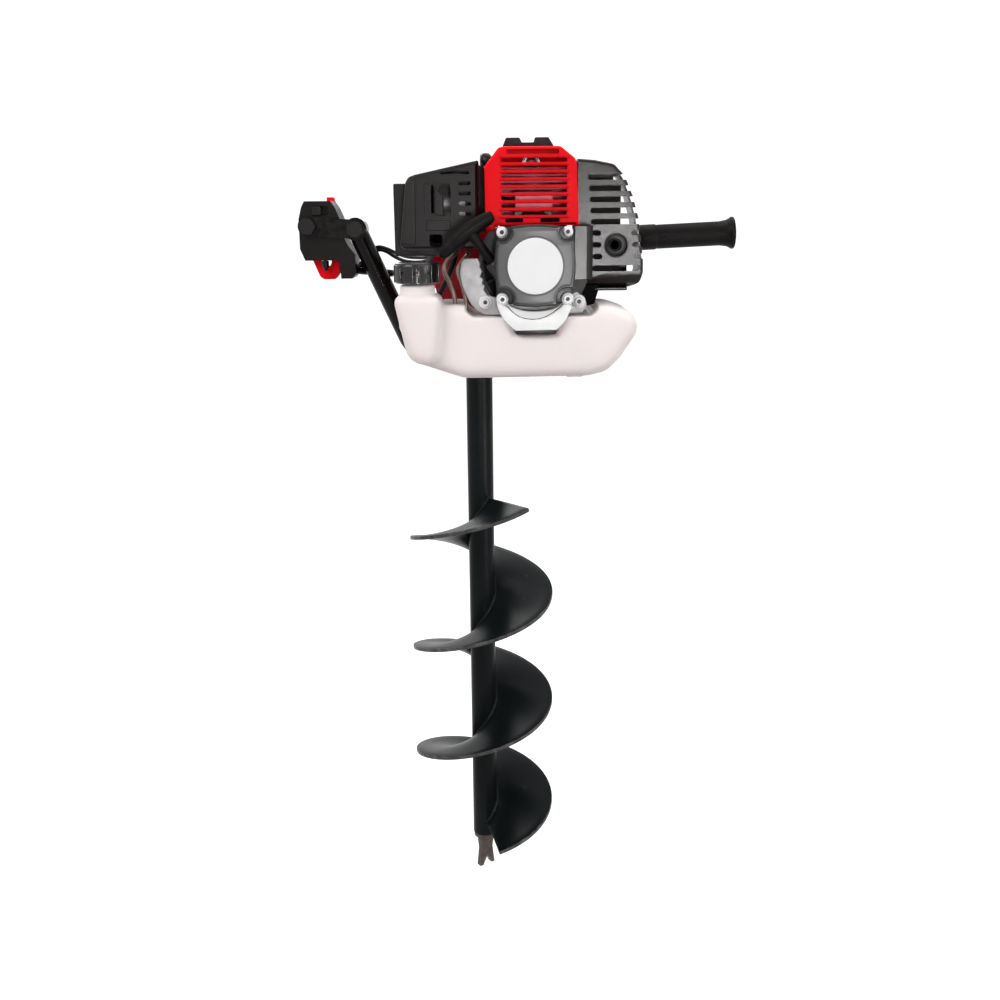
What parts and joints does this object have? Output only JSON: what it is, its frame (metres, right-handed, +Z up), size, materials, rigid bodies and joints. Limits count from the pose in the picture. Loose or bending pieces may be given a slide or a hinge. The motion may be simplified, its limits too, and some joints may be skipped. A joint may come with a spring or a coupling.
{
  "type": "earth auger",
  "caption": "Hand-held petrol earth auger: a spiral bit under a worm gearbox, driven by a small engine with fuel tank, pull starter, side handles and throttle, for boring holes in soil.",
  "frame": {"origin": "lowest level of the fishtail pilot, on the axis of the bit", "axes": "+Z up along the bit, +X towards the right-hand grip, the recoil starter faces -Y"},
  "size_m": [0.5647, 0.4093, 0.9823],
  "materials": {
    "bit_paint": "semi-gloss black paint with bright worn edges",
    "bit_point": "worn and lightly rusted steel",
    "zinc_steel": "zinc-plated",
    "ground_steel": "ground",
    "bronze": "machined",
    "red_paint": "glossy",
    "black_steel": "glossy black paint",
    "dark_bolt": "black oxide",
    "grip_rubber": "fine ribbed",
    "black_plastic": "satin moulded",
    "red_plastic": "moulded",
    "cast_aluminium": "as cast",
    "dark_aluminium": "dark coated",
    "muffler_steel": "heat stained",
    "tank_plastic": "translucent blow-moulded",
    "hose_plastic": "clear, stained by fuel",
    "cable_sheath": "smooth",
    "primer_rubber": "translucent",
    "filter_foam": "open foam",
    "spring_steel": "blued",
    "nylon": "natural nylon",
    "heat_plastic": "phenolic"
  },
  "bodies": {
    "machine": {"gearbox_body": "red_paint", "gearbox_cover": "red_paint", "gearbox_bolts": "dark_bolt", "bearings": "ground_steel", "shaft_seal": "cable_sheath", "frame_clamp": "black_steel", "left_handle_tube": "black_steel", "right_handle_tube": "black_steel", "right_grip": "grip_rubber", "handle_plate": "black_steel", "handle_bolts": "dark_bolt", "grip_core": "ground_steel", "left_grip": "grip_rubber", "throttle_housing": "black_plastic", "throttle_cover": "black_plastic", "throttle_cable": "cable_sheath", "crankcase_front": "cast_aluminium", "crankcase_rear": "cast_aluminium", "connecting_rod": "ground_steel", "piston": "cast_aluminium", "engine_cylinder": "cast_aluminium", "spark_plug": "zinc_steel", "ignition_lead": "cable_sheath", "ignition_coil": "heat_plastic", "clutch_housing": "dark_aluminium", "muffler": "muffler_steel", "muffler_guard": "black_plastic", "carburettor": "cast_aluminium", "intake_insulator": "heat_plastic", "air_filter_case": "black_plastic", "air_filter_cover": "black_plastic", "filter_element": "filter_foam", "cylinder_cover": "red_plastic", "top_clip": "black_plastic", "fan_housing": "cast_aluminium", "starter_cover": "black_plastic", "recoil_spring": "spring_steel", "engine_screws": "zinc_steel", "tank_bracket": "zinc_steel", "fuel_tank": "tank_plastic", "fuel_hose": "hose_plastic"},
    "drill": {"output_shaft": "ground_steel", "worm_wheel": "bronze", "auger_tube": "bit_paint", "auger_flight": "bit_paint", "pilot_point": "bit_point", "coupling_bolt": "zinc_steel"},
    "worm": {"worm_shaft": "ground_steel", "clutch_drum": "muffler_steel"},
    "crank": {"crankshaft": "ground_steel", "flywheel": "cast_aluminium", "clutch_shoes": "ground_steel"},
    "pull_grip": {"pull_handle": "black_plastic"},
    "rope_pulley": {"starter_pulley": "nylon"},
    "trigger": {"throttle_trigger": "red_plastic"},
    "throttle_lever": {"carb_lever": "zinc_steel"},
    "lock": {"lock_button": "red_plastic"},
    "stop": {"stop_switch": "black_plastic"},
    "primer": {"primer_bulb": "primer_rubber"},
    "tank_cap": {"fuel_cap": "black_plastic"}
  },
  "joints": [
    {"name": "auger_spin", "type": "hinge", "parent": "machine", "child": "drill", "pos_m": [0, 0, 0.7], "axis": [0, 0, 1], "continuous": true},
    {"name": "worm_spin", "type": "hinge", "parent": "machine", "child": "worm", "pos_m": [0.064, -0.1, 0.85], "axis": [0, 1, 0], "continuous": true},
    {"name": "crank_spin", "type": "hinge", "parent": "machine", "child": "crank", "pos_m": [0.064, -0.1, 0.85], "axis": [0, 1, 0], "continuous": true},
    {"name": "rope_pull", "type": "slide", "parent": "machine", "child": "pull_grip", "axis": [-0.6, 0, 0.8], "range_m": [0, 0.5], "stiffness_N_per_m": 6, "springref_m": -0.2},
    {"name": "pulley_turn", "type": "hinge", "parent": "machine", "child": "rope_pulley", "pos_m": [0.064, -0.215, 0.85], "axis": [0, 1, 0], "range_deg": [0, 1150]},
    {"name": "trigger_squeeze", "type": "hinge", "parent": "machine", "child": "trigger", "pos_m": [-0.196, 0.0543, 0.862], "axis": [1, 0, 0], "range_deg": [0, 20], "stiffness_Nm_per_rad": 0.1, "springref_deg": -5.73},
    {"name": "lever_turn", "type": "hinge", "parent": "machine", "child": "throttle_lever", "pos_m": [-0.009, -0.11, 0.925], "axis": [0, 1, 0], "range_deg": [0, 60]},
    {"name": "lock_press", "type": "slide", "parent": "machine", "child": "lock", "axis": [0, 0, -1], "range_m": [0, 0.004], "stiffness_N_per_m": 120, "springref_m": -0.002},
    {"name": "stop_slide", "type": "slide", "parent": "machine", "child": "stop", "axis": [1, 0, 0], "range_m": [0, 0.008]},
    {"name": "primer_press", "type": "slide", "parent": "machine", "child": "primer", "axis": [0, 0, 1], "range_m": [0, 0.004], "stiffness_N_per_m": 100, "springref_m": -0.001},
    {"name": "cap_turn", "type": "hinge", "parent": "machine", "child": "tank_cap", "pos_m": [-0.061, -0.212, 0.84], "axis": [0, 0, 1], "range_deg": [0, 540]}
  ],
  "couplings": [
    {"joint": "worm_spin", "follows": "auger_spin", "ratio": -40},
    {"joint": "pulley_turn", "follows": "rope_pull", "rad_per_m": 40},
    {"joint": "lever_turn", "follows": "trigger_squeeze", "ratio": 3}
  ]
}
